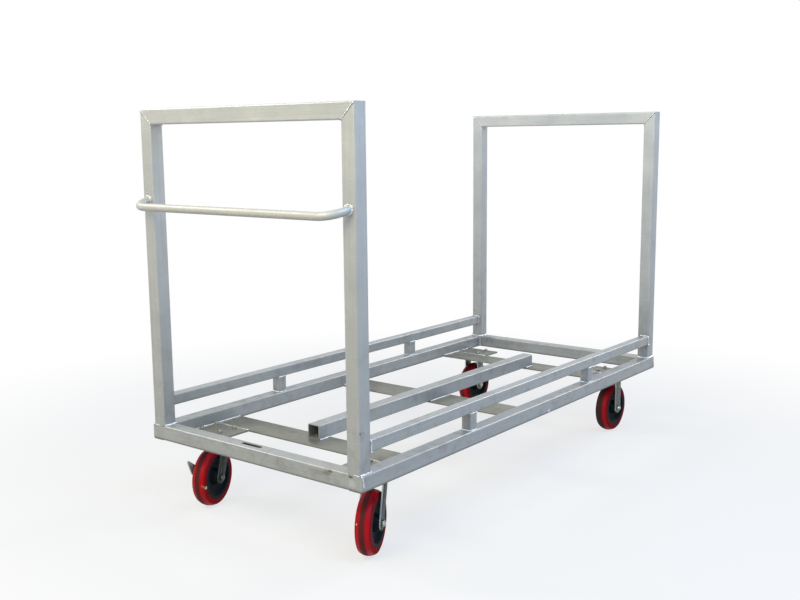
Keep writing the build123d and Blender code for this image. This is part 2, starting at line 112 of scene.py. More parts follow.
def addMark(tree, place, colour, mark):
    s = markEdge
    spot = addNode(tree, "ShaderNodeMapping", {
        "Vector": place, "Location": mark["spot"], "Scale": [mm(v) for v in mark["size"]],
        "Rotation": mark.get("turn", (0, 0, 0))}, vector_type="TEXTURE")
    reach = addNode(tree, "ShaderNodeVectorMath", {0: spot.outputs[0]}, operation="LENGTH")
    ragged = addNode(tree, "ShaderNodeTexNoise", {
        "Vector": spot.outputs[0], "Scale": s["raggedScale"], "Detail": 3})
    edge = addNode(tree, "ShaderNodeMath", {
        0: ragged.outputs["Fac"], 1: s["raggedDepth"], 2: reach.outputs["Value"]}, operation="MULTIPLY_ADD")
    share = addNode(tree, "ShaderNodeMapRange", {
        "Value": edge.outputs[0], "From Min": s["solidTo"], "From Max": s["goneBy"],
        "To Min": mark["strength"], "To Max": 0})
    return addNode(tree, "ShaderNodeMixRGB", {
        "Fac": share.outputs[0], "Color1": colour, "Color2": linearColour(mark["colour"])}).outputs[0]


# Mill-finish aluminium tube, extruded and left bare: satin grey with faint drawn lines along its length,
# cloudy handling marks, short scratches and grime that thickens towards the floor. Painted shade darkens the
# lower parts, the undersides and the base rails' bottom edges, and painted light brightens the upper parts.
millFinish = {
    "pale": "#babcba",
    "dull": "#a2a5a4",
    "cloudSize": 150,
    "lineWidth": 2.6,  # real drawn lines are finer, these are as coarse as shows
    "lineLength": 420,
    "lineDark": 0.92,
    "lineLight": 1.06,
    "heightShadeLow": 0.8,  # painted shade and light: darker low down, brighter high up
    "heightShadeHigh": 1.1,
    "heightShadeFrom": 0.25,
    "heightShadeTo": 1.35,
    "scratch": "#dfe2e2",
    "scratchWidth": 1.6,
    "scratchLength": 45,
    "scratchSlant": (0.5, 0.7, 0.4),
    "scratchFrom": 0.68,  # scratches show where their noise is over this
    "scratchTo": 0.76,
    "scratchShare": 0.4,
    "scratchCut": -1.5,  # they cut into the relief of the drawn lines
    "grimeAndShade": "#57554d",
    "grimeSize": 60,
    "grimeFrom": 0.5,  # smudges show where their noise is over this
    "grimeTo": 0.78,
    "dirtShadeLow": 0.2,  # metres above the floor, most grime and painted underside shade here
    "dirtShadeHigh": 0.75,  # and least here
    "dirtShadeMost": 0.55,
    "dirtShadeLeast": 0.12,
    "grimeRough": 0.25,
    "underShade": 1.5,  # painted shade on the undersides, before the height has its share
    "underFrom": -0.15,  # from faces that look a little down
    "underTo": -0.75,  # to those that look nearly straight down
    "bottomEdgeShade": 1.0,  # a dark line of painted shade along the base rails' bottom edges
    "edgeRise": 10,
    "metallic": 0.45,
    "smooth": 0.32,
    "rough": 0.46,
    "bump": {"strength": 0.25, "depth": 0.15},
}
# Flat bar between the rails: the same metal, greyer and darker olive as painted shade from a load above, with
# trodden-in dirt
shadedBarFinish = dict(millFinish, pale="#97968a", dull="#7d7c71", grimeAndShade="#4b483e", bottomEdgeShade=0)
# The push handle: the same metal rubbed smooth and bright by hands
handleFinish = dict(millFinish, pale="#bbbcb8", dull="#a9aaa6", metallic=0.3, smooth=0.44, rough=0.58)
# Knocks and stains that show on the tubes, with one painted glint and one painted shaded recess, by the way
# their grain runs
tubeMarks = {
    "X": [
        # a white speck: a painted glint of a small dent
        {"spot": fromEnd(1078, -469.9, 264), "size": (9, 6, 6), "colour": "#e6eaee", "strength": 0.8},
        {"spot": fromEnd(11, -469.9, 292), "size": (9, 6, 7), "colour": "#6d7680", "strength": 0.5},
    ],
    "Y": [
        {"spot": fromEnd(0, -348, 298), "size": (8, 12, 5), "colour": "#4f4638", "strength": 0.75},
        {"spot": fromEnd(0, -333, 290), "size": (8, 20, 8), "colour": "#6b675a", "strength": 0.55},
        {"spot": fromEnd(0, -300, 285), "size": (8, 26, 10), "colour": "#77746a", "strength": 0.35},
    ],
    "Z": [
        {"spot": fromEnd(4, -463.5, 431), "size": (4, 5, 6), "colour": "#5c6670", "strength": 0.8},
        {"spot": fromEnd(15, -463.5, 433), "size": (3, 5, 3), "colour": "#66707a", "strength": 0.6},
        # a dark spot at the end cap's seam: painted shade of a small recess
        {"spot": fromEnd(0, -426, 297), "size": (6, 12, 5), "colour": "#403f38", "strength": 0.8},
        {"spot": fromEnd(0, -432, 277), "size": (6, 18, 14), "colour": "#c4c4c2", "strength": 0.45},
    ],
}


def millAluminium(name, grain, finish, marks):
    s = finish
    material, tree, shader, place = startMaterial(name, {"Metallic": s["metallic"]})
    stretch = [perMm(s["lineLength"] if axis == grain else s["lineWidth"]) for axis in "XYZ"]
    drawn = addNode(tree, "ShaderNodeMapping", {"Vector": place, "Scale": stretch})
    lines = addNode(tree, "ShaderNodeTexNoise", {"Vector": drawn.outputs[0], "Scale": 1, "Detail": 2})
    cloud = addNode(tree, "ShaderNodeTexNoise", {
        "Vector": place, "Scale": perMm(s["cloudSize"]), "Detail": 4, "Roughness": 0.6})
    tone = addNode(tree, "ShaderNodeMixRGB", {
        "Fac": cloud.outputs["Fac"], "Color1": linearColour(s["dull"]), "Color2": linearColour(s["pale"])})
    lineShade = addNode(tree, "ShaderNodeMapRange", {
        "Value": lines.outputs["Fac"], "From Min": noiseLow, "From Max": noiseHigh,
        "To Min": s["lineDark"], "To Max": s["lineLight"]})
    height = addNode(tree, "ShaderNodeSeparateXYZ", {"Vector": place}).outputs["Z"]
    # Painted shade and light: the tone darkens towards the floor and brightens higher up
    heightShade = addNode(tree, "ShaderNodeMapRange", {
        "Value": height, "From Min": s["heightShadeFrom"], "From Max": s["heightShadeTo"],
        "To Min": s["heightShadeLow"], "To Max": s["heightShadeHigh"]})
    shade = addNode(tree, "ShaderNodeMath", {
        0: lineShade.outputs[0], 1: heightShade.outputs[0]}, operation="MULTIPLY")
    lined = addNode(tree, "ShaderNodeMixRGB", {
        "Fac": 1, "Color1": tone.outputs[0], "Color2": shade.outputs[0]}, blend_type="MULTIPLY")

    width, length = perMm(s["scratchWidth"]), perMm(s["scratchLength"])
    slant = addNode(tree, "ShaderNodeMapping", {
        "Vector": place, "Rotation": s["scratchSlant"], "Scale": (width, length, width)})
    scratches = addNode(tree, "ShaderNodeTexNoise", {"Vector": slant.outputs[0], "Scale": 1, "Detail": 1})
    scratch = addNode(tree, "ShaderNodeMapRange", {
        "Value": scratches.outputs["Fac"], "From Min": s["scratchFrom"], "From Max": s["scratchTo"],
        "To Max": s["scratchShare"]})
    scratched = addNode(tree, "ShaderNodeMixRGB", {
        "Fac": scratch.outputs[0], "Color1": lined.outputs[0], "Color2": linearColour(s["scratch"])})

    low = addNode(tree, "ShaderNodeMapRange", {
        "Value": height, "From Min": s["dirtShadeLow"], "From Max": s["dirtShadeHigh"],
        "To Min": s["dirtShadeMost"], "To Max": s["dirtShadeLeast"]})
    smudge = addNode(tree, "ShaderNodeTexNoise", {
        "Vector": place, "Scale": perMm(s["grimeSize"]), "Detail": 6, "Roughness": 0.7})
    dirt = addNode(tree, "ShaderNodeMapRange", {
        "Value": smudge.outputs["Fac"], "From Min": s["grimeFrom"], "From Max": s["grimeTo"]})
    # Painted shade: faces that look down take the grime colour, as shade falls under the tubes
    normal = addNode(tree, "ShaderNodeTexCoord").outputs["Normal"]
    facing = addNode(tree, "ShaderNodeSeparateXYZ", {"Vector": normal})
    under = addNode(tree, "ShaderNodeMapRange", {
        "Value": facing.outputs["Z"], "From Min": s["underFrom"], "From Max": s["underTo"],
        "To Max": s["underShade"]})
    spread = addNode(tree, "ShaderNodeMath", {
        0: dirt.outputs[0], 1: under.outputs[0]}, operation="MAXIMUM")
    dirtAndShade = addNode(tree, "ShaderNodeMath", {
        0: spread.outputs[0], 1: low.outputs[0]}, operation="MULTIPLY")
    # Painted shade: a dark line along the base rails' bottom edges
    bottom = addNode(tree, "ShaderNodeMapRange", {
        "Value": height, "From Min": railFloor, "From Max": railFloor + mm(s["edgeRise"]),
        "To Min": s["bottomEdgeShade"], "To Max": 0})
    dirtAndShadeShare = addNode(tree, "ShaderNodeMath", {
        0: dirtAndShade.outputs[0], 1: bottom.outputs[0]}, operation="MAXIMUM")
    colour = addNode(tree, "ShaderNodeMixRGB", {
        "Fac": dirtAndShadeShare.outputs[0], "Color1": scratched.outputs[0],
        "Color2": linearColour(s["grimeAndShade"])}).outputs[0]
    for mark in marks:
        colour = addMark(tree, place, colour, mark)

    rough = addNode(tree, "ShaderNodeMapRange", {
        "Value": cloud.outputs["Fac"], "From Min": noiseLow, "From Max": noiseHigh,
        "To Min": s["smooth"], "To Max": s["rough"]})
    rougher = addNode(tree, "ShaderNodeMath", {
        0: dirtAndShadeShare.outputs[0], 1: s["grimeRough"], 2: rough.outputs[0]}, operation="MULTIPLY_ADD")
    relief = addNode(tree, "ShaderNodeMath", {
        0: scratch.outputs[0], 1: s["scratchCut"], 2: lines.outputs["Fac"]}, operation="MULTIPLY_ADD")
    endMaterial(tree, shader, colour, rougher.outputs[0], relief.outputs[0], s["bump"])
    return material


# Weld metal: frozen ripples, brighter and shinier than the tube, with grey soot between them.
weldFinish = {
    "bright": "#d4d9de",
    "sooty": "#9da1a3",
    "patchSize": 9,
    "sootTo": 0.36,
    "brightFrom": 0.6,
    "metallic": 0.7,
    "rough": 0.42,
    "smooth": 0.24,
    "bump": {"strength": 0.4, "depth": 0.4},
}
# The fine dark line beside each mitre's bead
sootFinish = dict(weldFinish, bright="#6d6e68", sooty="#43433e", patchSize=6, metallic=0.2)


def weldMetal(name, finish):
    s = finish
    material, tree, shader, place = startMaterial(name, {"Metallic": s["metallic"]})
    patch = addNode(tree, "ShaderNodeTexNoise", {
        "Vector": place, "Scale": perMm(s["patchSize"]), "Detail": 4, "Roughness": 0.65}).outputs["Fac"]
    share = addNode(tree, "ShaderNodeMapRange", {
        "Value": patch, "From Min": s["sootTo"], "From Max": s["brightFrom"]})
    colour = addNode(tree, "ShaderNodeMixRGB", {
        "Fac": share.outputs[0], "Color1": linearColour(s["sooty"]), "Color2": linearColour(s["bright"])})
    rough = addNode(tree, "ShaderNodeMapRange", {
        "Value": patch, "From Min": noiseLow, "From Max": noiseHigh,
        "To Min": s["rough"], "To Max": s["smooth"]})
    endMaterial(tree, shader, colour.outputs[0], rough.outputs[0], patch, s["bump"])
    return material


# Zinc-plated steel strap, dulled by use and darkened further as painted shade: dark grey with a faint crystal
# mottle, stained brown-grey where dirt sits, and pale along the sheared edges, rubbed wear with a painted
# highlight.
zincFinish = {
    # pale and dull are darkened partly as painted shade
    "pale": "#68706a",
    "dull": "#505853",
    "crystalSize": 7,
    "crystalShare": 0.35,
    "dullTo": 0.35,
    "paleFrom": 0.95,
    "stain": "#3d3a33",
    "stainSize": 30,
    "stainFrom": 0.56,
    "stainTo": 0.8,
    "stainShare": 0.6,
    # painted highlight along the sheared edges, with rubbed wear
    "edge": "#d3d9d2",
    "edgeTo": 0.45,  # a face that looks along the axle, up or down by less than this is an edge
    "flatFrom": 0.75,  # and one by more than this is not
    "metallic": 0.5,
    "specular": 0.5,
    "rough": 0.58,
    "roughTo": 0.3,
    "smooth": 0.36,
    "smoothFrom": 0.9,
    "bump": {"strength": 0.2, "depth": 0.1},
}
# The handle end's forks are darkened almost black as painted shade beneath the frame, the left one's edge
# highlight dimmed too
rightForkShadedFinish = dict(zincFinish, pale="#454c47", dull="#232825", stain="#1b1916",
                       metallic=0.2, specular=0.15)
leftForkShadedFinish = dict(rightForkShadedFinish, pale="#323834", dull="#191e1c", edge="#5c625d")
shadedForkFinishes = {"left": leftForkShadedFinish, "right": rightForkShadedFinish}
# The brake lever is made paler and less metallic as painted light, where the wheel shades it
leverLitFinish = dict(zincFinish, pale="#c9cbba", dull="#adaf9f", stain="#84826f", metallic=0.1)


def dulledZinc(name, axle, finish):  # the flat of the strap faces along the axle
    s = finish
    material, tree, shader, place = startMaterial(name, {
        "Metallic": s["metallic"], "Specular IOR Level": s["specular"]})
    crystal = addNode(tree, "ShaderNodeTexVoronoi", {"Vector": place, "Scale": perMm(s["crystalSize"])})
    grey = addNode(tree, "ShaderNodeSeparateXYZ", {"Vector": crystal.outputs["Color"]})
    cloud = addNode(tree, "ShaderNodeTexNoise", {
        "Vector": place, "Scale": perMm(s["stainSize"]), "Detail": 5, "Roughness": 0.65})
    mottle = addNode(tree, "ShaderNodeMath", {
        0: grey.outputs["X"], 1: s["crystalShare"], 2: cloud.outputs["Fac"]}, operation="MULTIPLY_ADD")
    share = addNode(tree, "ShaderNodeMapRange", {
        "Value": mottle.outputs[0], "From Min": s["dullTo"], "From Max": s["paleFrom"]})
    tone = addNode(tree, "ShaderNodeMixRGB", {
        "Fac": share.outputs[0], "Color1": linearColour(s["dull"]), "Color2": linearColour(s["pale"])})
    stain = addNode(tree, "ShaderNodeMapRange", {
        "Value": cloud.outputs["Fac"], "From Min": s["stainFrom"], "From Max": s["stainTo"],
        "To Max": s["stainShare"]})
    stained = addNode(tree, "ShaderNodeMixRGB", {
        "Fac": stain.outputs[0], "Color1": tone.outputs[0], "Color2": linearColour(s["stain"])})
    normal = addNode(tree, "ShaderNodeTexCoord").outputs["Normal"]
    flat = addNode(tree, "ShaderNodeVectorMath", {0: normal, 1: axle}, operation="DOT_PRODUCT")
    flatness = addNode(tree, "ShaderNodeMath", {0: flat.outputs["Value"]}, operation="ABSOLUTE")
    upright = addNode(tree, "ShaderNodeSeparateXYZ", {"Vector": normal})
    level = addNode(tree, "ShaderNodeMath", {0: upright.outputs["Z"]}, operation="ABSOLUTE")
    either = addNode(tree, "ShaderNodeMath", {
        0: flatness.outputs[0], 1: level.outputs[0]}, operation="MAXIMUM")
    # Painted highlight: faces that look neither along the axle nor up or down take the pale edge colour
    edge = addNode(tree, "ShaderNodeMapRange", {
        "Value": either.outputs[0], "From Min": s["edgeTo"], "From Max": s["flatFrom"],
        "To Min": 1, "To Max": 0})
    colour = addNode(tree, "ShaderNodeMixRGB", {
        "Fac": edge.outputs[0], "Color1": stained.outputs[0], "Color2": linearColour(s["edge"])})
    rough = addNode(tree, "ShaderNodeMapRange", {
        "Value": mottle.outputs[0], "From Min": s["roughTo"], "From Max": s["smoothFrom"],
        "To Min": s["rough"], "To Max": s["smooth"]})
    endMaterial(tree, shader, colour.outputs[0], rough.outputs[0], mottle.outputs[0], s["bump"])
    return material


# Bright metals, small pieces that glint, with faint smears so the glint breaks up: new zinc on the
# fasteners, zinc darkened as painted shade on the left swivel's axle, ground steel on the bearings.
brightFinish = {"pale": "#bcc0be", "dull": "#8f9490", "smear": 5, "smooth": 0.22, "rough": 0.42}
# painted shade: the left swivel's axle bolt and nut are darker
shadedAxleFinish = dict(brightFinish, pale="#6f7572", dull="#4a4f4d", smooth=0.3, rough=0.5)
groundFinish = dict(brightFinish, pale="#b9bcbe", dull="#8b8e90", smear=8, rough=0.38)


def brightMetal(name, finish):
    s = finish
    material, tree, shader, place = startMaterial(name, {"Metallic": 1})
    smear = addNode(tree, "ShaderNodeTexNoise", {
        "Vector": place, "Scale": perMm(s["smear"]), "Detail": 3, "Roughness": 0.6}).outputs["Fac"]
    colour = addNode(tree, "ShaderNodeMixRGB", {
        "Fac": smear, "Color1": linearColour(s["dull"]), "Color2": linearColour(s["pale"])})
    rough = addNode(tree, "ShaderNodeMapRange", {
        "Value": smear, "From Min": noiseLow, "From Max": noiseHigh,
        "To Min": s["rough"], "To Max": s["smooth"]})
    endMaterial(tree, shader, colour.outputs[0], rough.outputs[0])
    return material


def wheelPlace(wheel):  # X rolls forward, Y lies along the axle, Z is up
    joint = joints[wheel + "_spin"]
    axis = Vector(joint["axis"])
    turn = math.atan2(-axis.x, axis.y)
    return Matrix.Translation(joint["pos_m"]) @ Matrix.Rotation(turn, 4, "Z")


# Cast red polyurethane: satin and a little deep, scuffed brown-black in a ragged band where it rolls.
treadFinish = {
    "red": "#c0101a",
    "redDeep": "#970b13",
    "smudgeSize": 34,
    "worn": "#2c2223",
    "bandHalf": 9.0,
    "bandShift": 0.0,
    "bandFade": 3.5,
    "bandShare": 0.84,
    "ragged": 6.0,
    "raggedSize": 16,
    "speckSize": 5,
    "speckFrom": 0.7,
    "speckTo": 0.76,
    "speckShare": 0.5,
    "side": "#4a0e13",  # the flat sides are dark and dull from the shoulder inwards: dirt, with painted shade
    "sideFrom": 21.5,
    "sideTo": 25.0,
    "sideShare": 0.55,
    "sideRough": 0.9,
    "smooth": 0.42,
    "rough": 0.72,
    "specular": 0.12,
    "deepShare": 0.06,  # light that goes in and comes out redder
    "deepReach": 3,
    "deepTint": (1, 0.2, 0.15),
    "bump": {"strength": 0.25, "depth": 0.3},
}
# The far right wheel's band is wide and off to one side: that darker half of the tread is painted shade
farRightShadedTread = dict(treadFinish, bandHalf=17.0, bandShift=7.5, bandShare=0.94)
# Cuts in the tread, in metres from each wheel's centre
treadCuts = {
    "wheel_handle_left": [
        {"spot": (-0.084, -0.025, -0.012), "size": (8, 7, 6), "colour": "#e2dacd", "strength": 0.95},
        {"spot": (-0.0925, -0.0165, -0.003), "size": (7, 17, 5), "colour": "#b07a4c", "strength": 0.85,
         "turn": (0.6, 0, 0)},
    ],
    "wheel_handle_right": [
        {"spot": (-0.094, 0.017, 0.0275), "size": (4, 3, 4), "colour": "#d9b9a6", "strength": 0.8},
    ],
}


def redUrethane(wheel):
    # the far right wheel's wide, shifted band is painted shade
    s = farRightShadedTread if wheel == "wheel_far_right" else treadFinish
    material, tree, shader, place = startMaterial("redUrethane_" + wheel, {
        "Subsurface Weight": s["deepShare"], "Subsurface Scale": mm(s["deepReach"]),
        "Subsurface Radius": s["deepTint"], "Specular IOR Level": s["specular"]})
    turned = wheelPlace(wheel)
    spot = addNode(tree, "ShaderNodeMapping", {
        "Vector": place, "Location": turned.translation, "Rotation": turned.to_euler()},
        vector_type="TEXTURE").outputs[0]
    across = addNode(tree, "ShaderNodeSeparateXYZ", {"Vector": spot}).outputs["Y"]
    shifted = addNode(tree, "ShaderNodeMath", {0: across, 1: mm(s["bandShift"])}, operation="SUBTRACT")
    offset = addNode(tree, "ShaderNodeMath", {0: shifted.outputs[0]}, operation="ABSOLUTE")
    ragged = addNode(tree, "ShaderNodeTexNoise", {
        "Vector": spot, "Scale": perMm(s["raggedSize"]), "Detail": 4, "Roughness": 0.6})
    edge = addNode(tree, "ShaderNodeMath", {
        0: ragged.outputs["Fac"], 1: mm(s["ragged"]), 2: offset.outputs[0]}, operation="MULTIPLY_ADD")
    halfBand = s["bandHalf"] + s["ragged"] / 2
    band = addNode(tree, "ShaderNodeMapRange", {
        "Value": edge.outputs[0], "From Min": mm(halfBand - s["bandFade"]),
        "From Max": mm(halfBand + s["bandFade"]), "To Min": s["bandShare"], "To Max": 0},
        interpolation_type="SMOOTHSTEP")
    smudge = addNode(tree, "ShaderNodeTexNoise", {
        "Vector": spot, "Scale": perMm(s["smudgeSize"]), "Detail": 5, "Roughness": 0.65})
    tone = addNode(tree, "ShaderNodeMixRGB", {
        "Fac": smudge.outputs["Fac"], "Color1": linearColour(s["red"]), "Color2": linearColour(s["redDeep"])})
    specks = addNode(tree, "ShaderNodeTexNoise", {
        "Vector": spot, "Scale": perMm(s["speckSize"]), "Detail": 2}).outputs["Fac"]
    speck = addNode(tree, "ShaderNodeMapRange", {
        "Value": specks, "From Min": s["speckFrom"], "From Max": s["speckTo"], "To Max": s["speckShare"]})
    scuffed = addNode(tree, "ShaderNodeMixRGB", {
        "Fac": speck.outputs[0], "Color1": tone.outputs[0], "Color2": linearColour(s["worn"])})
    outwards = addNode(tree, "ShaderNodeMath", {0: across}, operation="ABSOLUTE")
    # the flat sides darken: dirt, with painted shade
    side = addNode(tree, "ShaderNodeMapRange", {
        "Value": outwards.outputs[0], "From Min": mm(s["sideFrom"]), "From Max": mm(s["sideTo"]),
        "To Max": s["sideShare"]})
    sided = addNode(tree, "ShaderNodeMixRGB", {
        "Fac": side.outputs[0], "Color1": scuffed.outputs[0], "Color2": linearColour(s["side"])})
    colour = addNode(tree, "ShaderNodeMixRGB", {
        "Fac": band.outputs[0], "Color1": sided.outputs[0],
        "Color2": linearColour(s["worn"])}).outputs[0]
    for cut in treadCuts.get(wheel, []):
        colour = addMark(tree, spot, colour, cut)
    rough = addNode(tree, "ShaderNodeMapRange", {
        "Value": band.outputs[0], "To Min": s["smooth"], "To Max": s["rough"]})
    rougher = addNode(tree, "ShaderNodeMath", {
        0: side.outputs[0], 1: s["sideRough"], 2: rough.outputs[0]}, operation="MULTIPLY_ADD")
    endMaterial(tree, shader, colour, rougher.outputs[0], specks, s["bump"])
    return material


# Moulded black polyolefin: near black, faint grain from the mould, a film of dust.
coreFinish = {
    "black": "#080f13",
    "dust": "#1a2226",
    "dustSize": 40,
    "dustFrom": 0.45,
    "dustTo": 0.8,
    "dustShare": 0.7,
    "grain": 1.8,
    "specular": 0.1,
    "rough": 0.55,
    "cleanSmooth": 0.06,  # so much smoother where it is clean
    "cleanTo": 0.3,
    "dustRough": 0.2,  # and so much rougher where it is dusty
    "dustyFrom": 0.75,
    "bump": {"strength": 0.25, "depth": 0.1},
}
# The brake pad's rubber: browner and duller
rubberFinish = dict(coreFinish, black="#161514", dust="#37332e", dustSize=12, grain=1.2, rough=0.7)


def mouldedBlack(name, finish):
    s = finish
    material, tree, shader, place = startMaterial(name, {"Specular IOR Level": s["specular"]})
    dust = addNode(tree, "ShaderNodeTexNoise", {
        "Vector": place, "Scale": perMm(s["dustSize"]), "Detail": 6, "Roughness": 0.7}).outputs["Fac"]
    share = addNode(tree, "ShaderNodeMapRange", {
        "Value": dust, "From Min": s["dustFrom"], "From Max": s["dustTo"], "To Max": s["dustShare"]})
    colour = addNode(tree, "ShaderNodeMixRGB", {
        "Fac": share.outputs[0], "Color1": linearColour(s["black"]), "Color2": linearColour(s["dust"])})
    rough = addNode(tree, "ShaderNodeMapRange", {
        "Value": dust, "From Min": s["cleanTo"], "From Max": s["dustyFrom"],
        "To Min": s["rough"] - s["cleanSmooth"], "To Max": s["rough"] + s["dustRough"]})
    grain = addNode(tree, "ShaderNodeTexNoise", {"Vector": place, "Scale": perMm(s["grain"]), "Detail": 2})
    endMaterial(tree, shader, colour.outputs[0], rough.outputs[0], grain.outputs["Fac"], s["bump"])
    return material


aluminiumAlong = {grain: millAluminium("millAluminium" + grain, grain, millFinish, tubeMarks[grain])
                  for grain in "XYZ"}
aluminiumBarShaded = millAluminium("flatBarPaintedShade", "Y", shadedBarFinish, [])
aluminiumHandle = millAluminium("handWornAluminium", "Y", handleFinish, [])
weldBright = weldMetal("weldMetal", weldFinish)
weldDark = weldMetal("weldSoot", sootFinish)
axles = {side: Vector(joints["wheel_handle_" + side + "_spin"]["axis"]) for side in ("left", "right")}
zincAlong = {side: dulledZinc("dulledZinc_" + side, axles[side], shadedForkFinishes[side]) for side in axles}
zincAlong["far"] = dulledZinc("dulledZinc_far", (0, 1, 0), zincFinish)
zincSteel = dulledZinc("dulledZinc_plate", (0, 0, 1), zincFinish)
zincLeverLit = dulledZinc("paintedLightZinc_lever", axles["left"], leverLitFinish)
zincBright = brightMetal("brightZinc", brightFinish)
zincShadedAxle = brightMetal("shadedAxleZinc", shadedAxleFinish)
steelGround = brightMetal("groundSteel", groundFinish)
corePlastic = mouldedBlack("mouldedPolyolefin", coreFinish)
padRubber = mouldedBlack("brakeRubber", rubberFinish)
wheels = ["wheel_handle_left", "wheel_handle_right", "wheel_far_left", "wheel_far_right"]
treadRed = {wheel: redUrethane(wheel) for wheel in wheels}
axlePlating = {"swivel_left": zincShadedAxle, "swivel_right": zincBright, "frame": zincBright}
print("materials made:", len(bpy.data.materials))


# CAD nodes that keep their shape take these finishes, by how their names start
nodeFinish = {
    "base_side_rail": aluminiumAlong["X"],
    "load_rail_left": aluminiumAlong["X"],
    "load_rail_right": aluminiumAlong["X"],
    "centre_load_rail": aluminiumAlong["X"],
    "base_end_rail": aluminiumAlong["Y"],
    "end_frame_top_rail": aluminiumAlong["Y"],
    "push_handle": aluminiumHandle,
    "caster_pads": aluminiumBarShaded,
    "corner_post": aluminiumAlong["Z"],
    "load_rail_spacers": aluminiumAlong["Z"],
    "side_rail_end_caps": aluminiumAlong["Z"],
    "kingpin": zincBright,
    "brake_pivot_pin": zincBright,
    "brake_plunger": zincBright,
    "swivel_balls": steelGround,
    "axle_bushing": steelGround,
    "wheel_bearing": steelGround,
    "brake_pad": padRubber,
}
for nodeName, nodeObject in nodes.items():
    for start, finish in nodeFinish.items():
        if nodeName.startswith(start):
            nodeObject.data.materials.clear()
            nodeObject.data.materials.append(finish)


def addPiece(mesh, name, material, body, replaced=(), sharpAngle=35):
    mesh.shade_smooth()
    mesh.set_sharp_from_angle(angle=math.radians(sharpAngle))
    mesh.materials.clear()
    mesh.materials.append(material)
    piece = bpy.data.objects.new(name, mesh)
    bpy.context.scene.collection.objects.link(piece)
    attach(piece, body)
    if replaced:
        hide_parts(*replaced)
    return piece


def meshFrom(bm, name):
    mesh = bpy.data.meshes.new(name)
    bm.to_mesh(mesh)
    bm.free()
    return mesh


# Wheels: a crowned tread cast round a dished core
wheelSizes = {
    "radius": 101.6,
    "halfWidth": 25.4,
    "crownDrop": 9.0,
    "crownSteps": 16,
    "shoulder": 6.0,
    "shoulderSteps": 5,
    "coreRadius": 77.0,
    "coreHalf": 25.0,
    "rimThickness": 11.0,
    "rimFillet": 1.4,
    "rimFilletSteps": 3,
    "draft": 5.0,
    "webHalf": 9.0,
    "webFillet": 3.5,
    "webFilletSteps": 4,
    "hubRadius": 25.0,
    "hubHalf": 30.15,
    "boreRadius": 15.12,
    "seam": 0.9,  # small chamfer either side of the line between tread and core
    "turnSteps": 128,
}
spinFit = {"mergeWithin": 0.01, "ringWithin": 0.05}


def spinRound(bm, outline, place, steps):  # outline is (radius, across) in mm, round the place's Y axis
    ring = [bm.verts.new(place @ Vector((0, mm(across), mm(radius)))) for radius, across in outline]
    edges = [bm.edges.new((ring[i - 1], ring[i])) for i in range(len(ring))]
    bmesh.ops.spin(bm, geom=ring + edges, cent=place.translation, axis=place.col[1].to_3d(),
                   angle=2 * math.pi, steps=steps, use_merge=True)
    bmesh.ops.remove_doubles(bm, verts=bm.verts, dist=mm(spinFit["mergeWithin"]))
    bmesh.ops.recalc_face_normals(bm, faces=bm.faces)


def roundRings(bm, place, corners, offset, segments):  # bevel the circles that these corners were spun into
    toLocal = place.inverted()
    near = mm(spinFit["ringWithin"])

    def cornerOf(vert):
        spot = toLocal @ vert.co
        radius = math.hypot(spot.x, spot.z)
        for corner in corners:
            if abs(radius - mm(corner[0])) < near and abs(spot.y - mm(corner[1])) < near:
                return corner
        return None

    marked = {vert: cornerOf(vert) for vert in bm.verts}
    rings = [e for e in bm.edges if marked[e.verts[0]] and marked[e.verts[0]] == marked[e.verts[1]]]
    bmesh.ops.bevel(bm, geom=rings, offset=mm(offset), affect="EDGES", segments=segments,
                    profile=0.5, material=-1)


def makeTread(wheel):
    s = wheelSizes
    place = wheelPlace(wheel)
    crownRadius = (s["halfWidth"] ** 2 + s["crownDrop"] ** 2) / (2 * s["crownDrop"])
    reach = math.asin(s["halfWidth"] / crownRadius)
    turns = [reach * (2 * i / s["crownSteps"] - 1) for i in range(s["crownSteps"] + 1)]
    outline = [(s["radius"] - crownRadius * (1 - math.cos(a)), crownRadius * math.sin(a)) for a in turns]
    shoulders = [outline[0], outline[-1]]
    for side in (1, -1):
        inner = [(s["coreRadius"] + s["seam"], side * s["halfWidth"]),
                 (s["coreRadius"], side * (s["halfWidth"] - s["seam"]))]
        outline += inner if side > 0 else reversed(inner)
    bm = bmesh.new()
    spinRound(bm, outline, place, s["turnSteps"])
    roundRings(bm, place, shoulders, s["shoulder"], s["shoulderSteps"])
    name = "tread_" + wheel
    addPiece(meshFrom(bm, name), name, treadRed[wheel], wheel,
             [wheel.replace("wheel_", "wheel_tread_")])


def makeCore(wheel):
    s = wheelSizes
    place = wheelPlace(wheel)
    rimInner = s["coreRadius"] - s["rimThickness"]
    half = [
        (s["boreRadius"], s["hubHalf"]),
        (s["hubRadius"], s["hubHalf"]),
        (s["hubRadius"] + s["draft"], s["webHalf"]),
        (rimInner - s["draft"], s["webHalf"]),
        (rimInner, s["coreHalf"]),
        (s["coreRadius"] - s["seam"], s["coreHalf"]),
        (s["coreRadius"], s["coreHalf"] - s["seam"]),
    ]
    outline = half + [(radius, -across) for radius, across in reversed(half)]
    bm = bmesh.new()
    spinRound(bm, outline, place, s["turnSteps"])
    bothSides = [(radius, side * across) for radius, across in half for side in (1, -1)]
    webCorners = [c for c in bothSides if abs(c[1]) == s["webHalf"]]
    rimCorners = [c for c in bothSides if c[0] in (s["hubRadius"], rimInner)]
    roundRings(bm, place, webCorners, s["webFillet"], s["webFilletSteps"])
    roundRings(bm, place, rimCorners, s["rimFillet"], s["rimFilletSteps"])
    name = "core_" + wheel
    addPiece(meshFrom(bm, name), name, corePlastic, wheel,
             [wheel.replace("wheel_", "wheel_core_")])


for wheel in wheels:
    makeTread(wheel)
    makeCore(wheel)
print("wheels made:", len(wheels))


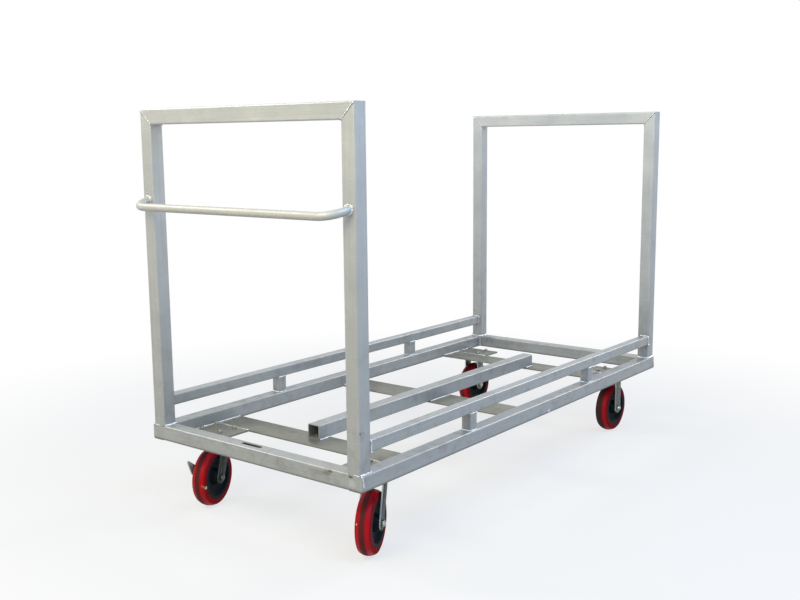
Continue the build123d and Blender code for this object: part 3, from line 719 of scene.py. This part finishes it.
# Strap, bar and plate pieces and fasteners: the CAD shape with its sheared edges rounded over
softEdges = {
    "strap": 0.9,
    "plate": 1.0,
    "bar": 1.2,
    "fastener": 0.6,
    "mergeWithin": 0.004,
    "joinAngle": 0.6,
    "sharpFrom": 50,
    "segments": 2,
}


def softenNode(nodeName, body, material, radius):
    s = softEdges
    bm = bmesh.new()
    bm.from_mesh(nodes[nodeName].data)
    bmesh.ops.remove_doubles(bm, verts=bm.verts, dist=mm(s["mergeWithin"]))
    bmesh.ops.dissolve_limit(bm, angle_limit=math.radians(s["joinAngle"]), use_dissolve_boundaries=False,
                             verts=bm.verts, edges=bm.edges)
    sharp = [e for e in bm.edges if e.is_manifold and e.calc_face_angle() > math.radians(s["sharpFrom"])]
    bmesh.ops.bevel(bm, geom=sharp, offset=mm(radius), affect="EDGES", segments=s["segments"],
                    profile=0.5, material=-1, clamp_overlap=True)
    name = "soft_" + nodeName
    addPiece(meshFrom(bm, name), name, material, body, [nodeName])


for place in ("handle", "middle", "far"):
    softenNode("cross_bar_" + place, "frame", aluminiumBarShaded, softEdges["bar"])
for side in ("left", "right"):
    swivel = "swivel_" + side
    plating = axlePlating[swivel]
    softenNode("axle_bolt_handle_" + side, swivel, plating, softEdges["fastener"])
    softenNode("axle_nut_handle_" + side, swivel, plating, softEdges["fastener"])
    softenNode("swivel_fork_" + side, swivel, zincAlong[side], softEdges["strap"])
    softenNode("rigid_fork_" + side, "frame", zincAlong["far"], softEdges["strap"])
    softenNode("swivel_plate_" + side, "frame", zincSteel, softEdges["plate"])
softenNode("brake_lever", "brake_lever", zincLeverLit, softEdges["strap"])
softenNode("brake_bracket", "swivel_left", zincAlong["left"], softEdges["strap"])
for fastener in ("axle_bolts_far", "axle_nuts_far", "caster_bolts", "caster_nuts"):
    softenNode(fastener, "frame", zincBright, softEdges["fastener"])
print("sheared edges softened")


# Thread crests on the bolt ends that stand out of their nuts
threadSizes = {
    "crest": 0.45,
    "sunk": 0.3,
    "halfPitch": 0.6,
    "turnSteps": 20,
    "casterBolt": {"radius": 4.76, "from": 268.9, "count": 2},
    "axleBolt": {"radius": 6.35, "from": -46.6, "count": 1},
    "casterFeet": {"handle": 193, "far": 1813.6, "across": 358.95, "boltAlong": 33.35, "boltAcross": 46.05},
}


def addThread(bm, place, thread):  # one ring, zigzag outside and sunk into the bolt
    s = threadSizes
    root = thread["radius"] - s["sunk"]
    zigzag = [(root, thread["from"])]
    for turn in range(thread["count"]):
        middle = thread["from"] + (2 * turn + 1) * s["halfPitch"]
        zigzag += [(thread["radius"] + s["crest"], middle), (root, middle + s["halfPitch"])]
    inner = root - s["sunk"]
    spinRound(bm, zigzag + [(inner, zigzag[-1][1]), (inner, zigzag[0][1])], place, s["turnSteps"])


def makeCasterThreads():
    feet = threadSizes["casterFeet"]
    bm = bmesh.new()
    for end in ("handle", "far"):
        for side in (1, -1):
            for along in (1, -1):
                for across in (1, -1):
                    foot = fromEnd(feet[end] + along * feet["boltAlong"],
                                   side * feet["across"] + across * feet["boltAcross"], 0)
                    upright = Matrix.Translation(foot) @ Matrix.Rotation(math.pi / 2, 4, "X")
                    addThread(bm, upright, threadSizes["casterBolt"])
    addPiece(meshFrom(bm, "threadsCaster"), "threadsCaster", zincBright, "frame")


def makeAxleThread(wheel, body):
    bm = bmesh.new()
    addThread(bm, wheelPlace(wheel), threadSizes["axleBolt"])
    name = "thread_" + wheel
    addPiece(meshFrom(bm, name), name, axlePlating[body], body)


makeCasterThreads()
for wheel in wheels:
    makeAxleThread(wheel, "swivel_" + wheel.split("_")[-1] if "handle" in wheel else "frame")
print("threads made")


# Weld beads: frozen ripples along the joints of the tubes, thicker where the torch stopped
beadShape = {
    "step": 1.5,
    "ripple": 4.5,  # real ripples are finer, these are as coarse as shows
    "rippleDepth": 0.13,
    "swell": 0.25,
    "swellLength": 14,
    "wander": 0.6,
    "wanderSeed": 5,  # the same wander on every run
    "endBlob": 0.3,
    "endBlobSteps": 2,
    "tip": 0.45,
    "tipGrowth": 0.3,
    "roundness": 2,
    "sharpFrom": 80,
    "cornerCut": 4.0,
    "seam": 1.9,
    "seamSunk": 1.0,
}


def boxMm(nodeName):
    low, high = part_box(nodeName)
    return low * 1000, high * 1000


def layBeads(name, beads, material):  # each bead is a path in mm, its radius, and whether it closes
    s = beadShape
    curve = bpy.data.curves.new(name, "CURVE")
    curve.dimensions = "3D"
    curve.bevel_depth = mm(1)
    curve.bevel_resolution = s["roundness"]
    curve.use_fill_caps = True
    for path, radius, closed in beads:
        corners = [Vector(spot) for spot in path]
        if closed:
            corners.append(corners[0])
        walk = []
        for start, end in zip(corners, corners[1:]):
            count = max(1, round((end - start).length / s["step"]))
            walk += [start.lerp(end, i / count) for i in range(count)]
        if not closed:
            walk.append(corners[-1])
        spline = curve.splines.new("POLY")
        spline.use_cyclic_u = closed
        spline.points.add(len(walk) - 1)
        for i, (spot, point) in enumerate(zip(walk, spline.points)):
            ripple = s["rippleDepth"] * math.sin(2 * math.pi * i * s["step"] / s["ripple"])
            swell = s["swell"] * noise.noise(spot / s["swellLength"])
            stepsIn = min(i, len(walk) - 1 - i)
            fromBlob = (stepsIn - s["endBlobSteps"]) / s["endBlobSteps"]
            blob = 0 if closed else s["endBlob"] * math.exp(-fromBlob ** 2)
            taper = 1 if closed else min(1, s["tip"] + s["tipGrowth"] * stepsIn)
            drift = noise.noise_vector(spot / s["swellLength"]) * s["wander"]
            point.co = (*((spot + drift) / 1000), 1)
            point.radius = radius * taper * (1 + ripple + swell + blob)
    holder = bpy.data.objects.new(name, curve)
    mesh = bpy.data.meshes.new_from_object(holder)
    bpy.data.objects.remove(holder)
    bpy.data.curves.remove(curve)
    addPiece(mesh, name, material, "frame", sharpAngle=s["sharpFrom"])


def loopPath(centre, first, second, half):  # round a square tube, its corners cut
    cut = half - beadShape["cornerCut"]
    steps = [(half, -cut), (half, cut), (cut, half), (-cut, half),
             (-half, cut), (-half, -cut), (-cut, -half), (cut, -half)]
    return [Vector(centre) + Vector(first) * a + Vector(second) * b for a, b in steps]


def circlePath(centre, first, second, radius, count):
    turns = [2 * math.pi * i / count for i in range(count)]
    return [Vector(centre) + Vector(first) * radius * math.cos(t) + Vector(second) * radius * math.sin(t)
            for t in turns]


# Welds of one end frame's corner: the post's foot, the base's corner, the load rail's end, the mitre
endWelds = {
    "foot": 5.2,
    "footStart": 2,
    "footCorner": 3,
    "footStop": 4,
    "footSeam": (3, 26),  # across the post's outer face
    "corner": 3.4,
    "cornerEnd": 4,
    "cap": 3.3,
    "capWalk": ((3, 4, 0), (5, 1, -6), (7.5, 1, -18), (8.5, 1, -36)),  # along, across, up from the corner
    "blob": 5.0,
    "blobWalk": ((3, 4.5, 0.5), (6, 5, 0.5)),
    "railEnd": 3.2,
    "railGap": 0.8,
    "railBlob": 4.0,
    "railBlobWalk": ((1, -2.5), (1.5, 5)),  # out and up from the load rail's lower edge
    "mitreEnd": 3,
    "line": 0.9,  # the dark line beside the bead, from the mitre's inner corner to its outer one
    "lineSunk": 0.3,
    "lineInner": (0.5, 2.5),
    "lineOuter": (1.5, 5),
}


def makeEndWelds(end, side):
    s = endWelds
    seam, sunk = beadShape["seam"], beadShape["seamSunk"]
    low, high = boxMm("corner_post_" + end + "_" + side)
    railLow, railHigh = boxMm("base_side_rail_" + side)
    outX, inX = (low.x, high.x) if end == "handle" else (high.x, low.x)
    outY, inY = (high.y, low.y) if side == "left" else (low.y, high.y)
    railOut, railIn = (railHigh.y, railLow.y) if side == "left" else (railLow.y, railHigh.y)
    inward = 1 if end == "handle" else -1
    middle = -1 if side == "left" else 1
    base, top = low.z, high.z

    cut = s["footCorner"]
    foot = [(outX + inward * s["footStart"], outY), (inX - inward * cut, outY), (inX, outY + middle * cut),
            (inX, inY - middle * cut), (inX - inward * cut, inY), (outX + inward * s["footStop"], inY)]
    sunkX = outX + inward * sunk
    cornerZ = (base - s["cornerEnd"], railLow.z + s["cornerEnd"])
    beads = [
        ([(x, y, base) for x, y in foot], s["foot"], False),
        ([(sunkX, outY + middle * across, base) for across in s["footSeam"]], seam, False),
        ([(inX, railIn, z) for z in cornerZ], s["corner"], False),
    ]
    for walk, radius in ((s["capWalk"], s["cap"]), (s["blobWalk"], s["blob"])):
        path = [(outX + inward * along, railOut + middle * across, base + up) for along, across, up in walk]
        beads.append((path, radius, False))

    railBottom, railTop = boxMm("load_rail_" + side)
    railMiddle = (railBottom + railTop) / 2
    endX = inX + inward * s["railGap"]
    half = (railTop.z - railBottom.z) / 2
    railLoop = loopPath((endX, railMiddle.y, railMiddle.z), (0, 1, 0), (0, 0, 1), half)
    beads.append((railLoop, s["railEnd"], True))
    railBlob = [(endX, outY - middle * out, railBottom.z + up) for out, up in s["railBlobWalk"]]
    beads.append((railBlob, s["railBlob"], False))

    mitreZ = top - abs(inX - outX)
    mitreX = (outX + inward * s["mitreEnd"], inX - inward * s["mitreEnd"])
    beads.append(([(x, inY, mitreZ) for x in mitreX], s["railEnd"], False))
    lines = []
    for faceX, sink in ((outX, inward), (inX, -inward)):
        ridgeX = faceX + sink * sunk
        ridgeEnd = (ridgeX, outY + middle * s["mitreEnd"], top - s["mitreEnd"])
        beads.append(([(ridgeX, inY, mitreZ), ridgeEnd], seam, False))
        lineX = faceX + sink * s["lineSunk"]
        lineStart = (lineX, inY + middle * s["lineInner"][0], mitreZ - s["lineInner"][1])
        lineStop = (lineX, outY + middle * s["lineOuter"][0], top - s["lineOuter"][1])
        lines.append(([lineStart, lineStop], s["line"], False))
    layBeads("welds_" + end + "_" + side, beads, weldBright)
    layBeads("weldShade_" + end + "_" + side, lines, weldDark)


# Welds along one side: round the spacers, and where bars and pads meet the base and centre rails
sideWelds = {
    "spacer": 2.8,
    "spacerPlaces": (588, 1418.6),
    "spacerGap": 0.4,
    "padSeam": 2.4,
    "padInner": 260.3,
    "bar": 3.0,
    "barEnd": 3,
    "centreEnd": 4,
}


def makeSideWelds(side):
    s = sideWelds
    railLow, railHigh = boxMm("load_rail_" + side)
    baseLow, baseHigh = boxMm("base_side_rail_" + side)
    centreLow, centreHigh = boxMm("centre_load_rail")
    middleY = (railLow.y + railHigh.y) / 2
    half = (railHigh.z - railLow.z) / 2
    beads = []
    for along in s["spacerPlaces"]:
        x = fromEnd(along, 0, 0).x * 1000
        for z in (baseHigh.z + s["spacerGap"], railLow.z - s["spacerGap"]):
            beads.append((loopPath((x, middleY, z), (1, 0, 0), (0, 1, 0), half), s["spacer"], True))
    inY, padY, centreY = baseHigh.y, -s["padInner"], centreLow.y
    if side == "left":
        inY, padY, centreY = baseLow.y, s["padInner"], centreHigh.y
    for end in ("handle", "middle", "far"):
        barLow, barHigh = boxMm("cross_bar_" + end)
        startX, stopX = barLow.x, barHigh.x
        if end != "middle":
            padLow, padHigh = boxMm("caster_pads_" + end)
            startX, stopX = min(startX, padLow.x), max(stopX, padHigh.x)
            seamX = barLow.x if end == "handle" else barHigh.x
            seamZ = barHigh.z - beadShape["seamSunk"]
            beads.append(([(seamX, padY, seamZ), (seamX, inY, seamZ)], s["padSeam"], False))
        sideEnds = (startX + s["barEnd"], stopX - s["barEnd"])
        beads.append(([(x, inY, barHigh.z) for x in sideEnds], s["bar"], False))
        centreEnds = (max(barLow.x, centreLow.x) + s["centreEnd"],
                      min(barHigh.x, centreHigh.x) - s["centreEnd"])
        beads.append(([(x, centreY, barHigh.z) for x in centreEnds], s["bar"], False))
    layBeads("welds_" + side, beads, weldBright)


# Welds round the push handle's two ends
handleWelds = {"bead": 4.0, "radius": 12.9, "gap": 0.6, "steps": 36}


def makeHandleWelds():
    s = handleWelds
    weldZ = boxMm("push_handle")[1].z - s["radius"]
    beads = []
    for side in ("left", "right"):
        low, high = boxMm("corner_post_handle_" + side)
        centre = (low.x - s["gap"], (low.y + high.y) / 2, weldZ)
        beads.append((circlePath(centre, (0, 1, 0), (0, 0, 1), s["radius"], s["steps"]), s["bead"], True))
    layBeads("welds_push_handle", beads, weldBright)


noise.seed_set(beadShape["wanderSeed"])
for side in ("left", "right"):
    for end in ("handle", "far"):
        makeEndWelds(end, side)
    makeSideWelds(side)
makeHandleWelds()
print("welds laid")


# Floor, light and camera
stageLook = {
    "floor": "#cbcbc9",
    "floorRadius": 40,
    "floorSteps": 96,
    "fadeFrom": 1.1,
    "fadeTo": 3.0,
    "whiteShare": 0.7,
}
skyLook = {"colour": "#bdd6ff", "strength": 0.32}
lamps = [
    {"name": "warmEnd", "place": (-3.4, -0.3, 3.0), "aim": (-0.9, 0, 1.2), "size": 2.2, "power": 108,
     "colour": "#fff0c2"},
    {"name": "coolSide", "place": (-0.7, -2.8, 3.2), "aim": (-0.4, -0.4, 1.1), "size": 2.4, "power": 96,
     "colour": "#a9d0ff"},
    {"name": "overhead", "place": (0.4, -0.2, 4.6), "aim": (0.1, 0, 0.6), "size": 3.2, "power": 25,
     "colour": "#f4f8ff"},
    {"name": "crossEdges", "place": (-2.15, 3.4, 3.6), "aim": (-0.9, 0, 0.6), "size": 1.6, "power": 80,
     "colour": "#ffffff"},
    {"name": "longEdges", "place": (4.8, -1.6, 3.7), "aim": (0, -0.4, 0.4), "size": 1.8, "power": 120,
     "colour": "#ffffff"},
]
cameraFit = {
    "place": (endFace - 2.1146, -2.2750, 1.26585),
    "yaw": 38.119,
    "pitch": 9.087,
    "roll": 0.535,
    "focalPixels": 1004.7,
    "imageWidth": 800,
    "sensor": 36,
}


def seenRays(tree):  # camera, glossy and transmission rays see the white backdrop
    path = addNode(tree, "ShaderNodeLightPath")
    straight = addNode(tree, "ShaderNodeMath", {
        0: path.outputs["Is Camera Ray"], 1: path.outputs["Is Glossy Ray"]}, operation="MAXIMUM")
    either = addNode(tree, "ShaderNodeMath", {
        0: straight.outputs[0], 1: path.outputs["Is Transmission Ray"]}, operation="MAXIMUM")
    return either.outputs[0]


def makeFloor():
    s = stageLook
    bm = bmesh.new()
    bmesh.ops.create_circle(bm, cap_ends=True, segments=s["floorSteps"], radius=s["floorRadius"])
    floor = bpy.data.objects.new("floor", meshFrom(bm, "floor"))
    bpy.context.scene.collection.objects.link(floor)
    material = bpy.data.materials.new("paleFloor")
    material.use_nodes = True
    tree = material.node_tree
    tree.nodes.clear()
    matt = addNode(tree, "ShaderNodeBsdfDiffuse", {"Color": linearColour(s["floor"])})
    white = addNode(tree, "ShaderNodeEmission", {"Color": (1, 1, 1, 1), "Strength": 1})
    spot = addNode(tree, "ShaderNodeTexCoord").outputs["Object"]
    distance = addNode(tree, "ShaderNodeVectorMath", {0: spot}, operation="LENGTH")
    fade = addNode(tree, "ShaderNodeMapRange", {
        "Value": distance.outputs["Value"], "From Min": s["fadeFrom"], "From Max": s["fadeTo"],
        "To Min": s["whiteShare"]}, interpolation_type="SMOOTHSTEP")
    share = addNode(tree, "ShaderNodeMath", {0: fade.outputs[0], 1: seenRays(tree)}, operation="MULTIPLY")
    surface = addNode(tree, "ShaderNodeMixShader", {
        0: share.outputs[0], 1: matt.outputs[0], 2: white.outputs[0]})
    addNode(tree, "ShaderNodeOutputMaterial", {"Surface": surface.outputs[0]})
    floor.data.materials.append(material)


def makeSky():
    world = bpy.data.worlds.new("studio")
    world.use_nodes = True
    tree = world.node_tree
    tree.nodes.clear()
    soft = addNode(tree, "ShaderNodeBackground", {
        "Color": linearColour(skyLook["colour"]), "Strength": skyLook["strength"]})
    white = addNode(tree, "ShaderNodeBackground", {"Color": (1, 1, 1, 1), "Strength": 1})
    sky = addNode(tree, "ShaderNodeMixShader", {0: seenRays(tree), 1: soft.outputs[0], 2: white.outputs[0]})
    addNode(tree, "ShaderNodeOutputWorld", {"Surface": sky.outputs[0]})
    bpy.context.scene.world = world


def makeLamp(lamp):
    light = bpy.data.lights.new(lamp["name"], "AREA")
    light.shape = "DISK"
    light.size = lamp["size"]
    light.energy = lamp["power"]
    light.color = linearColour(lamp["colour"])[:3]
    holder = bpy.data.objects.new(lamp["name"], light)
    holder.location = lamp["place"]
    aim = Vector(lamp["aim"]) - holder.location
    holder.rotation_euler = aim.to_track_quat("-Z", "Y").to_euler()
    bpy.context.scene.collection.objects.link(holder)


def makeCamera():
    s = cameraFit
    yaw, pitch, roll = (math.radians(s[key]) for key in ("yaw", "pitch", "roll"))
    look = Vector((math.cos(yaw) * math.cos(pitch), math.sin(yaw) * math.cos(pitch), -math.sin(pitch)))
    level = Vector((math.sin(yaw), -math.cos(yaw), 0))
    right = Matrix.Rotation(roll, 3, look) @ level
    up = right.cross(look)
    data = bpy.data.cameras.new("photoView")
    data.sensor_width = s["sensor"]
    data.lens = s["sensor"] * s["focalPixels"] / s["imageWidth"]
    camera = bpy.data.objects.new("photoView", data)
    turn = Matrix((right, up, -look)).transposed().to_4x4()
    camera.matrix_world = Matrix.Translation(s["place"]) @ turn
    bpy.context.scene.collection.objects.link(camera)
    bpy.context.scene.camera = camera


makeFloor()
makeSky()
for lamp in lamps:
    makeLamp(lamp)
makeCamera()
bpy.context.scene.view_settings.view_transform = "Standard"
print("stage lit")
